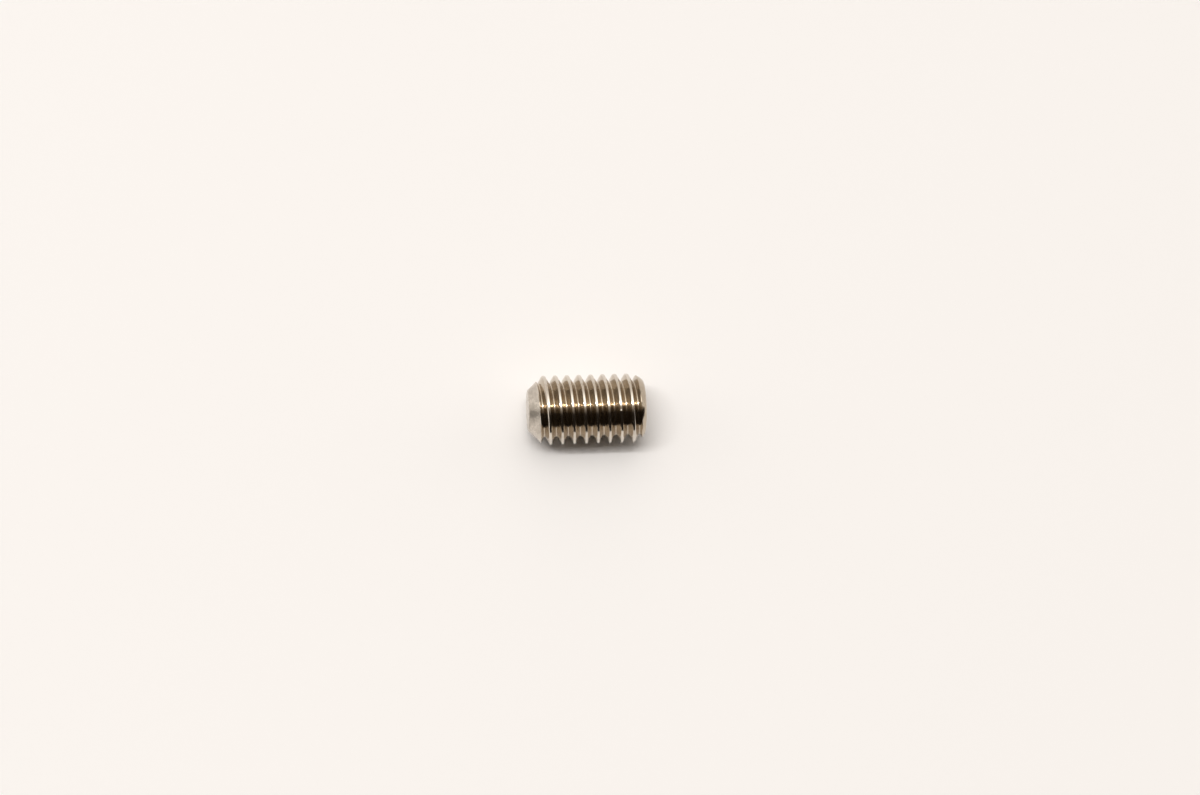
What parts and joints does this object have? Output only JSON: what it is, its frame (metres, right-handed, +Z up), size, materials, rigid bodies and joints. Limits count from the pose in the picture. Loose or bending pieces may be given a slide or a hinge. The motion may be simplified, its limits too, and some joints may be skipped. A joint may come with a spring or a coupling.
{
  "type": "grub set screw",
  "caption": "Headless threaded rod with a flat chamfered point and a hexagon socket, screwed into a tapped hole to press on a shaft and lock a collar, hub or knob.",
  "frame": {"origin": "on the surface the screw lies on, under the middle of its length", "axes": "+X along the screw's axis from the flat point to the socket end, +Z up, away from the surface it lies on"},
  "size_m": [0.0098, 0.0058, 0.0058],
  "materials": {
    "stainless_steel": "bright rolled stainless steel with fine drag lines along the thread"
  },
  "bodies": {
    "root": {"set_screw": "stainless_steel"}
  },
  "joints": []
}
